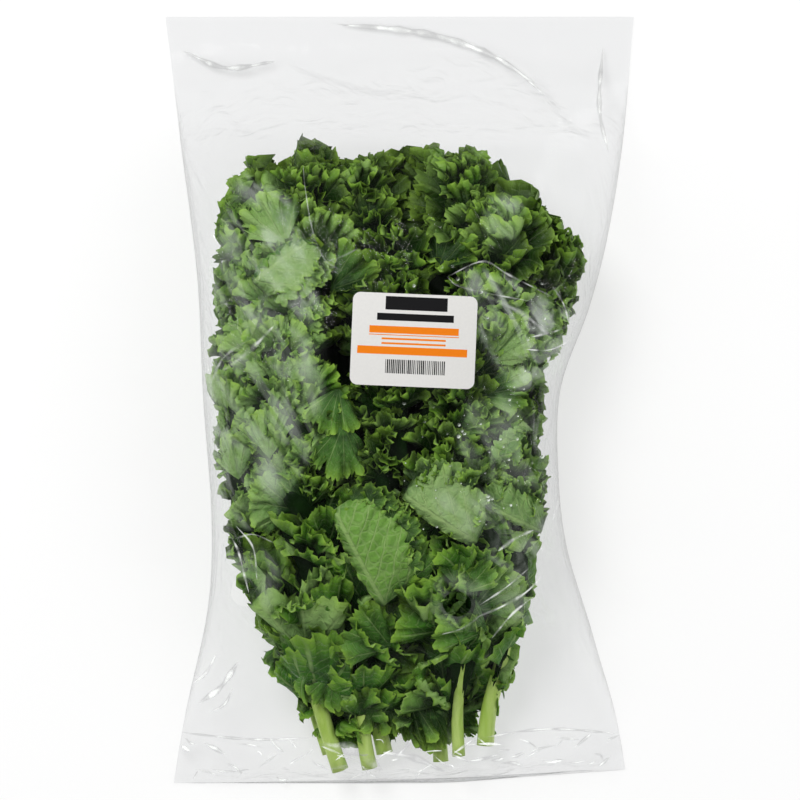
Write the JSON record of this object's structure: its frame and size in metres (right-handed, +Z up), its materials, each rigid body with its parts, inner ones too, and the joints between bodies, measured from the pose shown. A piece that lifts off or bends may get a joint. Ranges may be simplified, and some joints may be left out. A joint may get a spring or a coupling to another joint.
{
  "type": "kale bunch",
  "caption": "Bunch of curly kale lying on its back in a clear film bag, cut stems at one end, frilled leaf tips at the other, with a plain paper label.",
  "frame": {"origin": "middle of the bag's footprint, on the surface it lies on", "axes": "+Y from the cut stems to the crown of leaf tips, +X to the right seen from above, +Z up"},
  "size_m": [0.226, 0.3696, 0.0988],
  "materials": {
    "leaf": "curly green leaf, half matt, with pale green stem",
    "film": "clear thin film, glossy",
    "paper": "matt white label"
  },
  "bodies": {
    "root": {"leaf_front_left": "leaf", "leaf_front_middle": "leaf", "leaf_front_right": "leaf", "leaf_side_left": "leaf", "leaf_side_right": "leaf", "leaf_back_left": "leaf", "leaf_back_right": "leaf", "bag": "film", "label": "paper"}
  },
  "joints": []
}
